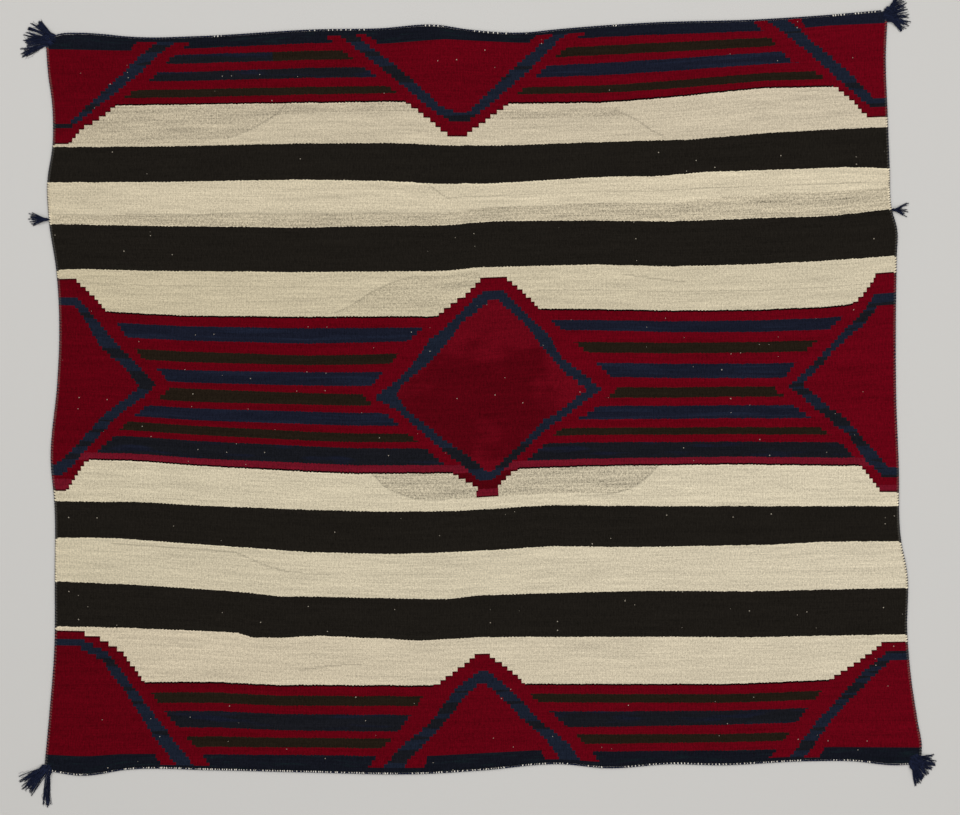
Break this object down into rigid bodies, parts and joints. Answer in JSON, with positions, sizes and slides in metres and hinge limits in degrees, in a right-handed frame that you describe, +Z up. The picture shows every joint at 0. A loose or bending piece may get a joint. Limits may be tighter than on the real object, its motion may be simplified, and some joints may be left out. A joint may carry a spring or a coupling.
{
  "type": "chief blanket laid flat",
  "caption": "Handwoven wool chief blanket laid flat, with striped bands and stepped diamonds, twined edge cords, knotted corner tassels and small side tufts.",
  "frame": {"origin": "under the middle of the whole piece, on the surface that it lies on", "axes": "+X runs across the blanket along its stripes, towards the wider right side; +Y runs along the warp, towards the end that slopes uphill; +Z is up, out of the face that shows"},
  "size_m": [1.8752, 1.6315, 0.0066],
  "materials": {
    "striped_wool": "matte weft-faced wool weave in cream, brown-black, crimson and indigo, with stripes and stepped diamonds",
    "navy_cord": "matte twined wool cord, dark indigo",
    "navy_strands": "matte loose plied wool, dark indigo"
  },
  "bodies": {
    "root": {"blanket_cloth": "striped_wool", "edge_cord_top": "navy_cord", "edge_cord_bottom": "navy_cord", "edge_cord_left": "navy_cord", "edge_cord_right": "navy_cord", "corner_tassel_top_left": "navy_strands", "corner_tassel_top_right": "navy_strands", "corner_tassel_bottom_left": "navy_strands", "corner_tassel_bottom_right": "navy_strands", "side_tuft_left": "navy_strands", "side_tuft_right": "navy_strands"}
  },
  "joints": []
}
